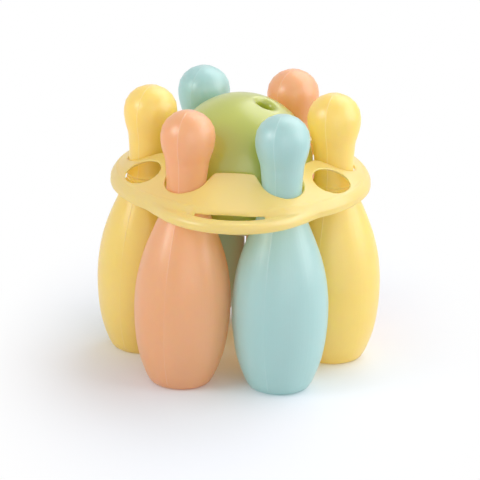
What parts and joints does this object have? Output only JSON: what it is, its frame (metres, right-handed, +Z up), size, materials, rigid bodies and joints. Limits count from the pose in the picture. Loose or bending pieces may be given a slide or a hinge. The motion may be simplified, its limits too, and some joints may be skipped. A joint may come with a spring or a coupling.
{
  "type": "kids bowling set",
  "caption": "Toy bowling set: hollow pins held by their necks in a domed carrier ring with two handles, with the ball nested between them.",
  "frame": {"origin": "on the floor under the middle of the set", "axes": "+Z up, the two handles lie along Y, the first yellow pin stands on +X"},
  "size_m": [0.2288, 0.2466, 0.2206],
  "materials": {
    "carrier_plastic": "satin injection moulded plastic",
    "ball_plastic": "satin blow moulded plastic",
    "yellow_plastic": "satin blow moulded plastic",
    "coral_plastic": "satin blow moulded plastic",
    "blue_plastic": "satin blow moulded plastic",
    "mint_plastic": "satin blow moulded plastic"
  },
  "bodies": {
    "carrier": {"carrier_ring": "carrier_plastic"},
    "ball": {"ball": "ball_plastic"},
    "pin_yellow_right": {"pin_yellow_right": "yellow_plastic"},
    "pin_coral_back": {"pin_coral_back": "coral_plastic"},
    "pin_mint_back": {"pin_mint_back": "mint_plastic"},
    "pin_yellow_left": {"pin_yellow_left": "yellow_plastic"},
    "pin_coral_front": {"pin_coral_front": "coral_plastic"},
    "pin_blue_front": {"pin_blue_front": "blue_plastic"}
  },
  "joints": [
    {"name": "ball_turn", "type": "hinge", "parent": "carrier", "child": "ball", "pos_m": [0, 0, 0.158], "axis": [0, 0, 1], "continuous": true},
    {"name": "yellow_right_hang", "type": "slide", "parent": "carrier", "child": "pin_yellow_right", "axis": [-0.0286, 0, 0.9996], "range_m": [-0.008, 0]},
    {"name": "coral_back_hang", "type": "slide", "parent": "carrier", "child": "pin_coral_back", "axis": [-0.0143, -0.0248, 0.9996], "range_m": [-0.008, 0]},
    {"name": "mint_back_hang", "type": "slide", "parent": "carrier", "child": "pin_mint_back", "axis": [0.0143, -0.0248, 0.9996], "range_m": [-0.008, 0]},
    {"name": "yellow_left_hang", "type": "slide", "parent": "carrier", "child": "pin_yellow_left", "axis": [0.0286, 0, 0.9996], "range_m": [-0.008, 0]},
    {"name": "coral_front_hang", "type": "slide", "parent": "carrier", "child": "pin_coral_front", "axis": [0.0143, 0.0248, 0.9996], "range_m": [-0.008, 0]},
    {"name": "blue_front_hang", "type": "slide", "parent": "carrier", "child": "pin_blue_front", "axis": [-0.0143, 0.0248, 0.9996], "range_m": [-0.008, 0]}
  ]
}
